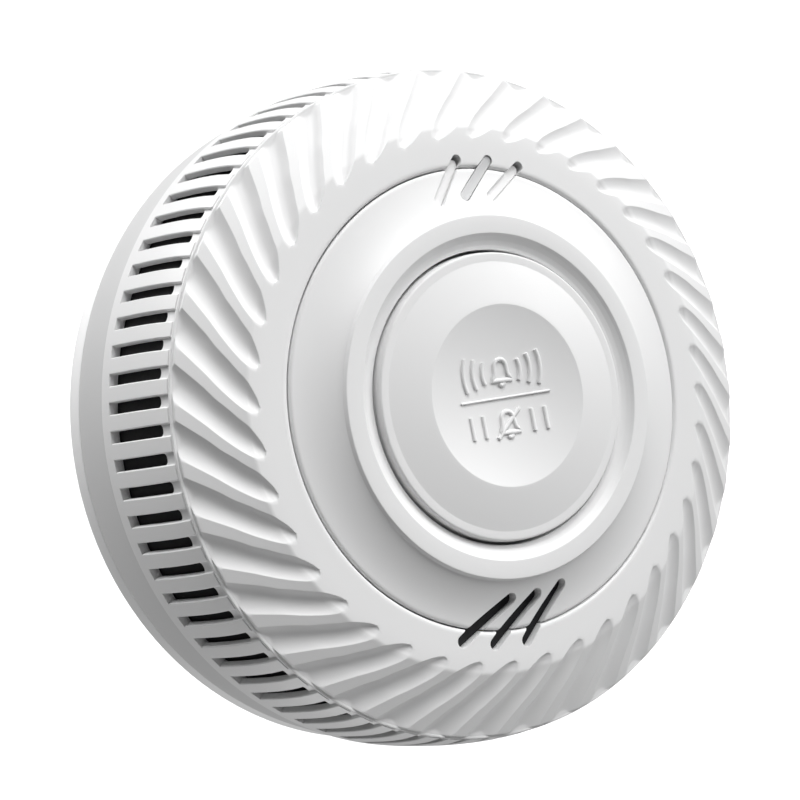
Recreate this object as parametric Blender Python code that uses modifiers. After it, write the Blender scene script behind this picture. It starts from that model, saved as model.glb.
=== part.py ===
"""Round ceiling smoke detector, modelled face up.

Frame: metres, +Z out through the test button, origin at the centre of the
mounting plate's back face, +Y towards the top of the button's markings.
"""
import bpy
import bmesh
import math
from mathutils import Matrix, Vector

MM = 0.001

# ---- driving dimensions, millimetres -------------------------------------
BAND_R = 60.0            # widest radius, where the rear band meets the vent wall
BACK_R = 59.0            # radius of the mounting plate and of the band's rear edge
PLATE_T = 2.4            # mounting plate thickness
FLOOR_Z = 2.7            # underside of the rear housing
SEAM_Z = 15.9            # seam between rear housing and vent wall
FLANGE_Z = 36.6          # underside of the cover's rim flange
RIM_R = 57.1             # cover rim
RIM_Z = 37.7             # top edge of the cover rim
GROOVE_R = 39.35         # middle of the parting groove round the insert
GROOVE_Z = 42.2          # face height at the groove
BEZEL_Z = 45.65          # flat top of the bezel
BUTTON_R = 24.5          # test button
BUTTON_TOP = 46.95       # crest of the button
DIMPLE_R = 15.4          # finger dimple
DIMPLE_DEPTH = 1.75
GAP = 0.3                # clearance between neighbouring pieces
VENTS = 80               # side vent openings
VENT_PHASE = 1.44        # degrees, centre of the first opening
VENT_W = 1.9
VENT_Z = (18.7, 34.1)
FLUTES = 40              # scoops round the cover
FLUTE_PHASE = 3.4        # degrees, inner tip of the first scoop
SLOT_OUT = (41.4, 71.4)  # face slot, centre of its outer end (radius, degrees)
SLOT_IN = (34.05, 82.7)  # and of its inner end
SLOT_R = 0.92            # half width of a face slot
SLOT_PITCH = 9.0         # degrees between neighbouring face slots
PCB_Z = 14.0             # underside of the circuit board
PCB_T = 1.6
PCB_R = 45.0
PCB_TOP = PCB_Z + PCB_T
BOSS_RADIUS = 51.0       # pitch radius of the cover screws
BOSS_ANGLES = (60.0, 180.0, 300.0)
PCB_SCREW_RADIUS = 41.5
PCB_SCREW_ANGLES = (70.0, 200.0, 310.0)
HOOK_ANGLES = (0.0, 120.0, 240.0)
CHAMBER_XY = (24.0, 9.0)
SOUNDER_XY = (-3.0, -36.0)
BATTERY_XY = (-27.0, 8.0)

PARTS = None
CUTTERS = None


def reset_scene():
    for obj in list(bpy.data.objects):
        bpy.data.objects.remove(obj, do_unlink=True)


def make_collections():
    global PARTS, CUTTERS
    PARTS = bpy.data.collections.new("smoke_detector")
    CUTTERS = bpy.data.collections.new("cutters")
    bpy.context.scene.collection.children.link(PARTS)
    bpy.context.scene.collection.children.link(CUTTERS)


def material(name, rgb, rough, metal=0.0):
    mat = bpy.data.materials.get(name)
    if mat is None:
        mat = bpy.data.materials.new(name)
        mat.use_nodes = True
        shader = mat.node_tree.nodes["Principled BSDF"]
        shader.inputs["Base Color"].default_value = (rgb[0], rgb[1], rgb[2], 1.0)
        shader.inputs["Roughness"].default_value = rough
        shader.inputs["Metallic"].default_value = metal
        mat.diffuse_color = (rgb[0], rgb[1], rgb[2], 1.0)
    return mat


def place(name, mesh, mat, cutter=False):
    """Link a mesh as a part, or as a hidden helper shape for a Boolean."""
    obj = bpy.data.objects.new(name, mesh)
    if cutter:
        CUTTERS.objects.link(obj)
        obj.hide_render = True
        obj.display_type = "WIRE"
    else:
        PARTS.objects.link(obj)
        mesh.materials.append(mat)
    return obj


def polar(radius, degrees):
    a = math.radians(degrees)
    return radius * math.cos(a), radius * math.sin(a)


def finish_smooth(mesh, angle=32.0):
    mesh.shade_smooth()
    mesh.set_sharp_from_angle(angle=math.radians(angle))


def turned(name, profile, steps, mat, closed=True, spin=0.0, at=(0.0, 0.0), cutter=False):
    """Turn a profile of (radius, z) points, listed down the outer side, about Z."""
    mesh = bpy.data.meshes.new(name)
    bm = bmesh.new()
    verts = [bm.verts.new((r * MM, 0.0, z * MM)) for r, z in profile]
    for a, b in zip(verts, verts[1:]):
        bm.edges.new((a, b))
    if closed:
        bm.edges.new((verts[-1], verts[0]))
    bm.to_mesh(mesh)
    bm.free()
    obj = place(name, mesh, mat, cutter)
    obj.location = (at[0] * MM, at[1] * MM, 0.0)
    obj.rotation_euler = (0.0, 0.0, math.radians(spin))
    mod = obj.modifiers.new("turn", "SCREW")
    mod.axis = "Z"
    mod.steps = steps
    mod.render_steps = steps
    mod.use_merge_vertices = True
    mod.merge_threshold = 0.00001
    mod.use_smooth_shade = True
    return obj


def bool_with(obj, other, operation="DIFFERENCE"):
    mod = obj.modifiers.new(other.name, "BOOLEAN")
    mod.operation = operation
    mod.solver = "EXACT"
    mod.object = other
    return obj


def cylinder_bm(radius, z0, z1, segments=24, at=(0.0, 0.0), top_radius=None):
    bm = bmesh.new()
    top = radius if top_radius is None else top_radius
    bmesh.ops.create_cone(bm, cap_ends=True, segments=segments, radius1=radius * MM,
                          radius2=top * MM, depth=(z1 - z0) * MM)
    bmesh.ops.translate(bm, verts=bm.verts, vec=(at[0] * MM, at[1] * MM, (z0 + z1) / 2 * MM))
    return bm


def box_bm(size, centre, turn=0.0):
    bm = bmesh.new()
    bmesh.ops.create_cube(bm, size=1.0)
    bmesh.ops.scale(bm, verts=bm.verts, vec=Vector(size) * MM)
    bmesh.ops.rotate(bm, verts=bm.verts, matrix=Matrix.Rotation(math.radians(turn), 3, "Z"))
    bmesh.ops.translate(bm, verts=bm.verts, vec=Vector(centre) * MM)
    return bm


def stadium_bm(end_a, end_b, radius, z0, z1, segments=12):
    """An upright slot shape with round ends centred on two (x, y) points."""
    ax, ay = end_a
    bx, by = end_b
    length = math.hypot(bx - ax, by - ay)
    turn = math.atan2(by - ay, bx - ax)
    bm = cylinder_bm(radius, z0, z1, segments)
    half = math.pi / segments
    bmesh.ops.rotate(bm, verts=bm.verts, matrix=Matrix.Rotation(half, 3, "Z"))
    for v in bm.verts:
        v.co.x += math.copysign(length / 2 * MM, v.co.x)
    bmesh.ops.rotate(bm, verts=bm.verts, matrix=Matrix.Rotation(turn, 3, "Z"))
    bmesh.ops.translate(bm, verts=bm.verts, vec=((ax + bx) / 2 * MM, (ay + by) / 2 * MM, 0.0))
    return bm


def from_bm(name, bm, mat, cutter=False):
    mesh = bpy.data.meshes.new(name)
    bm.to_mesh(mesh)
    bm.free()
    finish_smooth(mesh)
    return place(name, mesh, mat, cutter)


def ring_of(name, mesh_source, count, phase, mat=None):
    """One hidden helper holding `count` turned copies of a mesh about Z."""
    bm = bmesh.new()
    for k in range(count):
        start = len(bm.verts)
        bm.from_mesh(mesh_source)
        bm.verts.ensure_lookup_table()
        fresh = bm.verts[start:]
        angle = math.radians(phase + 360.0 * k / count)
        bmesh.ops.rotate(bm, verts=fresh, matrix=Matrix.Rotation(angle, 3, "Z"))
    mesh = bpy.data.meshes.new(name)
    bm.to_mesh(mesh)
    bm.free()
    return place(name, mesh, mat, cutter=True)


def tube_mesh(name, points, radii, depth, resolution=2):
    """A round bar swept along (x, y, z) millimetre points, welded into one closed mesh."""
    curve = bpy.data.curves.new(name, "CURVE")
    curve.dimensions = "3D"
    curve.bevel_depth = depth * MM
    curve.bevel_resolution = resolution
    curve.use_fill_caps = True
    spline = curve.splines.new("POLY")
    spline.points.add(len(points) - 1)
    for p, co, r in zip(spline.points, points, radii):
        p.co = (co[0] * MM, co[1] * MM, co[2] * MM, 1.0)
        p.radius = r
    temp = bpy.data.objects.new(name + "_curve", curve)
    bpy.context.scene.collection.objects.link(temp)
    graph = bpy.context.evaluated_depsgraph_get()
    mesh = bpy.data.meshes.new_from_object(temp.evaluated_get(graph))
    bpy.data.objects.remove(temp, do_unlink=True)
    bm = bmesh.new()
    bm.from_mesh(mesh)
    bmesh.ops.remove_doubles(bm, verts=bm.verts, dist=0.000005)
    bmesh.ops.recalc_face_normals(bm, faces=bm.faces)
    bm.to_mesh(mesh)
    bm.free()
    return mesh


# ---- outer shell ----------------------------------------------------------

def mounting_plate(mat):
    profile = [(11.0, PLATE_T), (BACK_R - 1.1, PLATE_T), (BACK_R, PLATE_T - 1.2),
               (BACK_R - 0.2, 0.1), (BACK_R - 0.5, 0.0), (11.0, 0.0)]
    plate = turned("mounting_plate", profile, 64, mat)
    for side in (-1, 1):
        slot = stadium_bm((side * 30.0, -7.0), (side * 30.0, 7.0), 2.2, -1.0, 4.0)
        bool_with(plate, from_bm("plate_slot_%d" % (side + 1), slot, None, True))
        entry = cylinder_bm(4.6, -1.0, 4.0, 16, at=(side * 30.0, -7.0))
        bool_with(plate, from_bm("plate_entry_%d" % (side + 1), entry, None, True))
    for i, angle in enumerate(HOOK_ANGLES):
        stem_at = polar(45.0, angle)
        stem = box_bm((1.8, 9.0, 5.6), (stem_at[0], stem_at[1], 4.6), angle)
        bool_with(plate, from_bm("hook_stem_%d" % i, stem, None, True), "UNION")
        head_at = polar(46.6, angle)
        head = box_bm((5.0, 9.0, 1.6), (head_at[0], head_at[1], 6.6), angle)
        bool_with(plate, from_bm("hook_head_%d" % i, head, None, True), "UNION")
    return plate


def arc_slot_mesh(name, radius, half_width, start, end, z0, z1, steps=6):
    """An upright curved slot: a box section turned through an arc about Z."""
    mesh = bpy.data.meshes.new(name)
    bm = bmesh.new()
    corners = [(radius - half_width, z0), (radius + half_width, z0),
               (radius + half_width, z1), (radius - half_width, z1)]
    verts = [bm.verts.new((r * MM, 0.0, z * MM)) for r, z in corners]
    face = bm.faces.new(verts)
    bmesh.ops.rotate(bm, verts=bm.verts, matrix=Matrix.Rotation(math.radians(start), 3, "Z"))
    geom = [face] + list(face.edges) + verts
    bmesh.ops.spin(bm, geom=geom, cent=(0, 0, 0), axis=(0, 0, 1),
                   angle=math.radians(end - start), steps=steps, use_duplicate=False)
    cap = [v for v in bm.verts if v.is_valid]
    bmesh.ops.remove_doubles(bm, verts=cap, dist=0.000001)
    loose = [e for e in bm.edges if len(e.link_faces) == 1]
    if loose:
        bmesh.ops.holes_fill(bm, edges=loose, sides=4)
    bmesh.ops.recalc_face_normals(bm, faces=bm.faces)
    bm.to_mesh(mesh)
    bm.free()
    return mesh


def rear_housing(mat):
    wall_in = 57.4
    profile = [(wall_in, 17.4), (58.4, 17.4), (58.4, SEAM_Z - GAP), (BAND_R - 0.05, SEAM_Z - GAP),
               (BACK_R + 0.05, FLOOR_Z + 0.4), (BACK_R - 0.4, FLOOR_Z), (8.0, FLOOR_Z),
               (8.0, 4.7), (wall_in, 4.7)]
    house = turned("rear_housing", profile, 48, mat)
    for i, angle in enumerate(HOOK_ANGLES):
        narrow = arc_slot_mesh("hook_slot_%d" % i, 45.0, 1.5, angle - 24.0, angle + 7.5, 1.0, 6.0)
        bool_with(house, place("hook_slot_%d" % i, narrow, None, True))
        wide = arc_slot_mesh("hook_entry_%d" % i, 46.4, 3.1, angle - 24.2, angle - 8.0, 1.0, 6.0, 4)
        bool_with(house, place("hook_entry_%d" % i, wide, None, True))
    for i, angle in enumerate(PCB_SCREW_ANGLES):
        at = polar(PCB_SCREW_RADIUS - 0.9, angle)
        post = cylinder_bm(2.9, 4.0, PCB_Z - GAP, 16, at)
        bool_with(house, from_bm("pcb_post_%d" % i, post, None, True), "UNION")
        hole = cylinder_bm(1.25, 7.0, PCB_Z + 1.0, 12, at)
        bool_with(house, from_bm("pcb_post_hole_%d" % i, hole, None, True))
    for i, angle in enumerate(BOSS_ANGLES):
        at = polar(BOSS_RADIUS, angle)
        cup = cylinder_bm(4.4, 3.6, 8.5, 16, at)
        bool_with(house, from_bm("screw_cup_%d" % i, cup, None, True), "UNION")
        sink = cylinder_bm(3.1, 1.0, 6.5, 16, at)
        bool_with(house, from_bm("screw_sink_%d" % i, sink, None, True))
        hole = cylinder_bm(1.6, 5.0, 9.5, 12, at)
        bool_with(house, from_bm("screw_hole_%d" % i, hole, None, True))
    return house


def vent_wall(mat):
    profile = [(55.0, FLANGE_Z - GAP), (57.35, FLANGE_Z - GAP), (BAND_R, SEAM_Z),
               (58.7, SEAM_Z), (58.7, 17.7), (57.0, 17.7)]
    wall = turned("vent_wall", profile, VENTS, mat, spin=VENT_PHASE + 180.0 / VENTS)
    z0, z1 = VENT_Z
    window = box_bm((8.0, VENT_W, z1 - z0), (57.5, 0.0, (z0 + z1) / 2))
    mesh = bpy.data.meshes.new("vent_window")
    window.to_mesh(mesh)
    window.free()
    bool_with(wall, ring_of("vent_windows", mesh, VENTS, VENT_PHASE))
    return wall


def shoulder_z(r):
    """Height of the cover's face between the groove and the rim."""
    points = ((39.0, GROOVE_Z), (45.0, 42.05), (47.5, 41.5), (52.5, 39.75), (59.0, 36.95))
    for (r0, z0), (r1, z1) in zip(points, points[1:]):
        if r <= r1:
            return z0 + (z1 - z0) * (r - r0) / (r1 - r0)
    return points[-1][1]


def flute_bar():
    """The bar that scoops one flute: it sinks into the face from the tip to the rim."""
    stations = ((43.4, 0.6, -0.5, 1.5), (45.6, -2.5, 0.5, 1.9), (50.0, -8.3, 0.9, 2.3),
                (54.8, -13.7, 1.0, 2.6), (59.5, -18.2, 0.9, 2.8))
    points = []
    radii = []
    for r, angle, depth, bar in stations:
        x, y = polar(r, angle)
        points.append((x, y, shoulder_z(r) + bar - depth))
        radii.append(bar / 2.5)
    return tube_mesh("flute_bar", points, radii, 2.5, 1)


def slot_ends(index, opposite):
    turn = SLOT_PITCH * index + (180.0 if opposite else 0.0)
    return polar(SLOT_OUT[0], SLOT_OUT[1] + turn), polar(SLOT_IN[0], SLOT_IN[1] + turn)


def face_slots():
    """Six slanted slots, three above the button and three below it."""
    bm = bmesh.new()
    for opposite in (False, True):
        for index in range(3):
            a, b = slot_ends(index, opposite)
            one = stadium_bm(a, b, SLOT_R, 36.0, 47.0)
            mesh = bpy.data.meshes.new("slot")
            one.to_mesh(mesh)
            one.free()
            bm.from_mesh(mesh)
    return from_bm("face_slots", bm, None, True)


def front_cover(mat, slots):
    profile = [(39.5, GROOVE_Z)]
    profile += [(r, shoulder_z(r)) for r in (45.0, 47.5, 52.5)]
    profile += [(56.6, RIM_Z + 0.35), (RIM_R, RIM_Z), (RIM_R, FLANGE_Z), (54.7, FLANGE_Z), (54.7, 34.0),
                (53.2, 34.0), (53.2, 36.9), (46.0, 39.2), (39.5, 39.6)]
    cover = turned("front_cover", profile, 40, mat, spin=FLUTE_PHASE)
    bool_with(cover, ring_of("flute_bars", flute_bar(), FLUTES, FLUTE_PHASE))
    bool_with(cover, slots)
    for i, angle in enumerate(BOSS_ANGLES):
        at = polar(BOSS_RADIUS, angle)
        boss = cylinder_bm(2.8, 8.8, 38.4, 16, at)
        bool_with(cover, from_bm("cover_boss_%d" % i, boss, None, True), "UNION")
        hole = cylinder_bm(1.25, 8.0, 20.0, 12, at)
        bool_with(cover, from_bm("cover_boss_hole_%d" % i, hole, None, True))
    return cover


def cone_z(r):
    """Hollow flank of the insert: it steepens evenly from the groove up to the bezel."""
    rise = max(0.0, 39.2 - r)
    return GROOVE_Z + 0.12 * rise + 0.027 * rise * rise


def centre_insert(mat, slots):
    profile = [(25.1, 44.1), (27.6, BEZEL_Z), (30.6, BEZEL_Z), (30.9, 45.3)]
    profile += [(r, cone_z(r)) for r in (31.4, 32.6, 35.0)]
    profile += [(39.2, GROOVE_Z), (39.2, 39.8), (33.0, 40.4), (28.2, 40.4), (28.2, 38.2),
                (3.4, 38.2), (3.4, 39.8), (25.1, 39.8)]
    insert = turned("centre_insert", profile, 48, mat)
    bool_with(insert, slots)
    return insert


def dimple_z(r):
    """Spherical finger dimple that breaks the crest of the button in a crisp edge."""
    ball = (DIMPLE_R ** 2 + DIMPLE_DEPTH ** 2) / (2.0 * DIMPLE_DEPTH)
    return BUTTON_TOP - DIMPLE_DEPTH + ball - math.sqrt(ball * ball - r * r)


def mark_bar(name, size, centre, turn=0.0):
    return from_bm(name, box_bm(size, centre, turn), None, True)


def test_button(mat):
    profile = [(0.0, dimple_z(0.0))]
    profile += [(r, dimple_z(r)) for r in (4.0, 8.0, 12.0, DIMPLE_R)]
    profile += [(22.5, 45.55), (23.9, 45.5), (24.4, 45.05), (BUTTON_R, 44.6), (BUTTON_R, 41.2),
                (22.6, 41.2), (22.6, 44.3), (3.0, 43.4), (3.0, 22.3), (0.0, 22.3)]
    button = turned("test_button", profile, 40, mat, closed=False)
    base = dimple_z(0.0)
    bool_with(button, mark_bar("mark_rule", (18.2, 0.45, 2.0), (0.0, -0.3, base - 0.3)), "UNION")
    for side, name in ((1.0, "sound"), (-1.0, "quiet")):
        y = -0.3 + 4.3 * side
        bell = cylinder_bm(2.3, base - 1.0, base + 0.55, 12, (0.0, y))
        bool_with(button, from_bm("mark_%s_bell" % name, bell, None, True), "UNION")
        for x in (-6.0, 6.0):
            tick = mark_bar("mark_%s_%d" % (name, x), (0.8, 4.2, 2.0), (x, y, base - 0.2))
            bool_with(button, tick, "UNION")
    return button


# ---- inside ---------------------------------------------------------------

def led_pieces(clear, holder_mat, led_mat):
    a, b = slot_ends(1, False)
    window = stadium_bm(a, b, SLOT_R - GAP, 38.0, 42.0)
    for v in window.verts:
        if v.co.z > 40.0 * MM:
            r = v.co.to_2d().length / MM
            v.co.z = (max(cone_z(r), shoulder_z(r) if r > GROOVE_R else 0.0) - 0.15) * MM
    foot = ((a[0] + b[0]) / 2, (a[1] + b[1]) / 2)
    pipe = from_bm("light_pipe", window, clear)
    stem = cylinder_bm(0.5, 19.8, 39.0, 10, foot)
    bool_with(pipe, from_bm("light_pipe_stem", stem, None, True), "UNION")
    holder = arc_slot_mesh("light_pipe_holder", 37.7, 5.0, 68.0, 105.0, 36.4, 37.6, 6)
    plate = place("light_pipe_holder", holder, holder_mat)
    hole = cylinder_bm(0.8, 30.0, 38.4, 12, foot)
    bool_with(plate, from_bm("light_pipe_hole", hole, None, True))
    led = cylinder_bm(1.5, PCB_TOP + 0.1, 19.4, 12, foot, top_radius=1.1)
    from_bm("status_led", led, led_mat)


def circuit_board(mat):
    board = cylinder_bm(PCB_R, PCB_Z, PCB_TOP, 48)
    pcb = from_bm("circuit_board", board, mat)
    for i, angle in enumerate(PCB_SCREW_ANGLES):
        hole = cylinder_bm(1.6, PCB_Z - 1, PCB_TOP + 1, 12, polar(PCB_SCREW_RADIUS - 0.9, angle))
        bool_with(pcb, from_bm("pcb_hole_%d" % i, hole, None, True))
    return pcb


def board_components(black, silver, blue, ferrite):
    top = PCB_TOP + 0.1
    chip = box_bm((7.0, 7.0, 1.2), (-6.0, 27.0, top + 0.6), 0.0)
    from_bm("control_chip", chip, black)
    driver = box_bm((5.0, 4.0, 1.5), (-8.0, -12.0, top + 0.75), 0.0)
    from_bm("sounder_driver", driver, black)
    can = cylinder_bm(4.0, top, top + 11.0, 20, (9.0, -14.0))
    from_bm("reservoir_capacitor", can, blue)
    coil = cylinder_bm(4.2, top, top + 4.5, 20, (20.0, -19.0))
    from_bm("boost_coil", coil, ferrite)
    shield = box_bm((9.0, 6.0, 2.4), (22.0, 35.0, top + 1.2), -25.0)
    from_bm("radio_shield", shield, silver)


def tact_switch(black, ivory):
    body = from_bm("switch_body", box_bm((6.2, 6.2, 3.8), (0, 0, PCB_TOP + 0.1 + 1.9)), black)
    well = cylinder_bm(2.0, PCB_TOP + 1.0, 22.0, 16)
    bool_with(body, from_bm("switch_well", well, None, True))
    from_bm("switch_plunger", cylinder_bm(1.7, PCB_TOP + 2.4, 22.0, 16), ivory)


def smoke_chamber(black, mesh_mat, clear, dark):
    x, y = CHAMBER_XY
    top = PCB_TOP + 0.3
    base = [(2.0, top + 2.4), (15.0, top + 2.4), (15.0, top + 3.4), (18.0, top + 3.4), (18.0, top),
            (2.0, top)]
    turned("chamber_base", base, 32, black, at=CHAMBER_XY)
    vane_low = top + 3.7
    vanes = [(11.6, 31.0), (14.4, 31.0), (14.4, vane_low), (11.6, vane_low)]
    ring = turned("chamber_labyrinth", vanes, 28, black, at=CHAMBER_XY)
    gap_bm = box_bm((6.0, 1.4, 8.6), (13.0, 0.0, 25.6), 0.0)
    bmesh.ops.rotate(gap_bm, verts=gap_bm.verts, cent=(13.0 * MM, 0, 0),
                     matrix=Matrix.Rotation(math.radians(35.0), 3, "Z"))
    mesh = bpy.data.meshes.new("vane_gap")
    gap_bm.to_mesh(mesh)
    gap_bm.free()
    gaps = ring_of("vane_gaps", mesh, 14, 0.0)
    gaps.location = (x * MM, y * MM, 0.0)
    bool_with(ring, gaps)
    screen = [(15.6, 31.0), (15.9, 31.0), (15.9, vane_low), (15.6, vane_low)]
    net = turned("insect_screen", screen, 24, mesh_mat, at=CHAMBER_XY)
    pane = box_bm((3.0, 4.4, 8.0), (15.75, 0.0, 25.4))
    mesh = bpy.data.meshes.new("screen_pane")
    pane.to_mesh(mesh)
    pane.free()
    panes = ring_of("screen_panes", mesh, 12, 0.0)
    panes.location = (x * MM, y * MM, 0.0)
    bool_with(net, panes)
    cap = [(0.0, 34.4), (14.0, 34.4), (17.4, 33.0), (17.4, 28.5), (16.4, 28.5), (16.4, 31.4),
           (0.0, 31.4)]
    turned("chamber_cap", cap, 32, black, closed=False, at=CHAMBER_XY)
    for name, angle, mat in (("infrared_led", 200.0, clear), ("photodiode", 335.0, dark)):
        dx, dy = polar(7.4, angle)
        bm = cylinder_bm(2.5, -3.0, 3.0, 16)
        bmesh.ops.rotate(bm, verts=bm.verts, matrix=Matrix.Rotation(math.radians(90), 3, "Y"))
        bmesh.ops.rotate(bm, verts=bm.verts, matrix=Matrix.Rotation(math.radians(angle), 3, "Z"))
        bmesh.ops.translate(bm, verts=bm.verts, vec=((x + dx) * MM, (y + dy) * MM, 24.0 * MM))
        from_bm(name, bm, mat)


def sounder(white, brass, wire_red, wire_black):
    cup = [(12.2, 37.7), (14.2, 37.7), (14.2, 24.6), (13.0, 24.6), (13.0, 27.0), (12.2, 27.0)]
    turned("sounder_cup", cup, 32, white, at=SOUNDER_XY)
    disc = cylinder_bm(12.7, 26.1, 26.7, 32, SOUNDER_XY)
    from_bm("piezo_disc", disc, brass)
    for name, dx, mat in (("sounder_lead_a", -2.0, wire_red), ("sounder_lead_b", 2.0, wire_black)):
        start = Vector((SOUNDER_XY[0] + dx, SOUNDER_XY[1] + 3.0, 25.7))
        end = Vector((-8.0 + dx, -18.0, PCB_TOP + 0.2))
        points = []
        for i in range(9):
            t = i / 8.0
            p = start.lerp(end, t)
            p.z = start.z + (end.z - start.z) * t - 1.6 * math.sin(math.pi * t)
            p.z = max(p.z, PCB_TOP + 0.9)
            points.append(tuple(p))
        mesh = tube_mesh(name, points, [1.0] * 9, 0.55)
        finish_smooth(mesh)
        place(name, mesh, mat)


def battery(sleeve, steel):
    x, y = BATTERY_XY
    z = 25.0
    profile = [(0.0, 35.6), (3.0, 35.6), (3.0, 34.6), (7.6, 34.6), (8.4, 33.9), (8.4, 0.6),
               (7.8, 0.0), (0.0, 0.0)]
    cell = turned("battery", profile, 28, sleeve, closed=False)
    cell.rotation_euler = (math.radians(-90.0), 0.0, 0.0)
    cell.location = (x * MM, (y - 17.8) * MM, z * MM)
    for name, yy in (("battery_tab_positive", y + 17.8 + 0.65), ("battery_tab_negative", y - 17.8 - 0.65)):
        tab = box_bm((7.0, 0.6, 12.8), (x, yy, PCB_TOP + 0.2 + 6.4))
        from_bm(name, tab, steel)


def screws(steel):
    for i, angle in enumerate(PCB_SCREW_ANGLES):
        at = polar(PCB_SCREW_RADIUS - 0.9, angle)
        screw = turned("board_screw_%d" % (i + 1), [(0.0, 17.5), (2.2, 17.3), (2.6, 15.8), (1.1, 15.8),
                       (1.1, 8.0), (0.0, 8.0)], 16, steel, closed=False, at=at)
    for i, angle in enumerate(BOSS_ANGLES):
        at = polar(BOSS_RADIUS, angle)
        screw = turned("cover_screw_%d" % (i + 1), [(0.0, 17.0), (1.1, 17.0), (1.1, 6.3), (2.7, 6.3),
                       (2.7, 4.4), (0.0, 4.2)], 16, steel, closed=False, at=at)
    return screw


def group_under_empties():
    """Parent the pieces that move together to an empty on their joint's axis."""
    head = bpy.data.objects.new("alarm_head", None)
    press = bpy.data.objects.new("button_press", None)
    for empty in (head, press):
        empty.empty_display_size = 0.01
        PARTS.objects.link(empty)
    press.parent = head
    for obj in PARTS.objects:
        if obj.type != "MESH" or obj.name == "mounting_plate":
            continue
        obj.parent = press if obj.name == "test_button" else head


def build():
    reset_scene()
    make_collections()
    shell = material("shell_white_abs", (0.86, 0.87, 0.87), 0.42)
    plate_mat = material("plate_white_abs", (0.88, 0.88, 0.88), 0.5)
    cover_mat = material("cover_white_abs", (0.87, 0.88, 0.88), 0.38)
    insert_mat = material("insert_white_abs", (0.87, 0.88, 0.88), 0.38)
    button_mat = material("button_white_abs", (0.86, 0.87, 0.87), 0.36)
    vent_mat = material("vent_white_abs", (0.86, 0.87, 0.87), 0.42)
    black = material("black_polymer", (0.02, 0.02, 0.022), 0.6)
    steel = material("zinc_steel", (0.62, 0.62, 0.6), 0.32, 1.0)
    brass = material("piezo_brass", (0.78, 0.6, 0.3), 0.3, 1.0)
    clear = material("clear_guide", (0.72, 0.74, 0.75), 0.25)
    led_mat = material("led_lens", (0.55, 0.1, 0.08), 0.25)
    board = material("board_green", (0.03, 0.16, 0.07), 0.45)
    blue = material("capacitor_sleeve", (0.03, 0.06, 0.2), 0.4)
    ferrite = material("ferrite", (0.08, 0.08, 0.09), 0.55)
    ivory = material("plunger_ivory", (0.75, 0.72, 0.62), 0.5)
    net = material("screen_mesh", (0.25, 0.25, 0.26), 0.5)
    sleeve = material("battery_sleeve", (0.1, 0.3, 0.26), 0.4)
    red = material("wire_red", (0.5, 0.03, 0.03), 0.45)
    dark = material("wire_black", (0.03, 0.03, 0.03), 0.45)
    mounting_plate(plate_mat)
    rear_housing(shell)
    vent_wall(vent_mat)
    slots = face_slots()
    front_cover(cover_mat, slots)
    centre_insert(insert_mat, slots)
    test_button(button_mat)
    led_pieces(clear, shell, led_mat)
    circuit_board(board)
    board_components(black, steel, blue, ferrite)
    tact_switch(black, ivory)
    smoke_chamber(black, net, clear, dark)
    sounder(shell, brass, red, dark)
    battery(sleeve, steel)
    screws(steel)
    group_under_empties()


build()
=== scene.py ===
"""Look of the round smoke detector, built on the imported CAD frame. Millimetres inside, metres out."""

import math
import bmesh
import bpy
import numpy as np
from mathutils import Matrix, Vector


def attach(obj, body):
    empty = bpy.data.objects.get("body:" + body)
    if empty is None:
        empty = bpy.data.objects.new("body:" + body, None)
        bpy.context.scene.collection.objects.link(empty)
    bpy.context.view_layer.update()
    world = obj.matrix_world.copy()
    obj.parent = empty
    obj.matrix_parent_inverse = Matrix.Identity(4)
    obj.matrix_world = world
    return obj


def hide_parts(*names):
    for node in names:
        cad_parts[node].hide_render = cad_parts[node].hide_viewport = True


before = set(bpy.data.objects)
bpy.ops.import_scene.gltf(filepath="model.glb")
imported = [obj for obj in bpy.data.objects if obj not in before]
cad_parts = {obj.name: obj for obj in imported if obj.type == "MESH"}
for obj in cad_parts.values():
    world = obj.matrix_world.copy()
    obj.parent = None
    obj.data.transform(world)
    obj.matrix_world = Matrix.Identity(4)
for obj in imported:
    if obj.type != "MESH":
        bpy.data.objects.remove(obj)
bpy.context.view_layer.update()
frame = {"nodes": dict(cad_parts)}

MM = 0.001
TAU = 2.0 * math.pi

# ---- dimensions, millimetres -----------------------------------------------
GROOVE_R, GROOVE_Z = 39.35, 42.2     # parting groove round the insert
INSERT_R = 39.1                      # outer wall of the insert, inside the groove
FLANK_R = 44.3                       # where the cover's flat ring gives way to the scoops
COVER_BACK_Z = 35.7
BEZEL_Z = 45.65                      # flat top of the bezel
BEZEL_R = 30.95
FLUTES, FLUTE_PHASE = 40, 4.65
VENTS, VENT_PHASE = 80, 1.44
RIM_R = 56.95
SLOT_R, SLOT_R_LOWER, SLOT_PITCH = 0.92, 1.08, 9.0
SLOTS_UPPER = (40.65, 71.9), (34.3, 81.1)      # centres of both ends of a slot (radius, degrees)
SLOTS_LOWER = (41.35, 70.8), (34.0, 83.5)
BUTTON_TOP, DIMPLE_R, DIMPLE_DEPTH = 46.9, 15.45, 1.75
VENT_W, VENT_Z = 1.9, (18.76, 34.06)  # side opening: width, bottom and top
VENT_WALL = 1.15                      # thickness of the wall round the openings
POCKET_HALF, FLARE_HALF = 0.96, 1.22  # half-widths of a pocket, inside and at the face
SLEEVE_BACK = 1.75                    # black sheet of painted shade behind the openings, its distance from the wall's face
SLOT_SHADE_SINK = 1.8                       # black sheet of painted shade under the lower face slots, its depth below the face
# the view is from -X and above, 353 mm away, and turned a little about its own axis
CAMERA_AT = (-180.8669, 2.0254, 302.8804)
CAMERA_FORWARD = (0.528735, 0.0, -0.848787)
CAMERA_UP = (0.132048, 0.987824, 0.082257)
LENS, SENSOR = 84.33, 36.0


# ---- mesh helpers ----------------------------------------------------------
def polar(radius, degrees):
    a = math.radians(degrees)
    return radius * math.cos(a), radius * math.sin(a)


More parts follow.
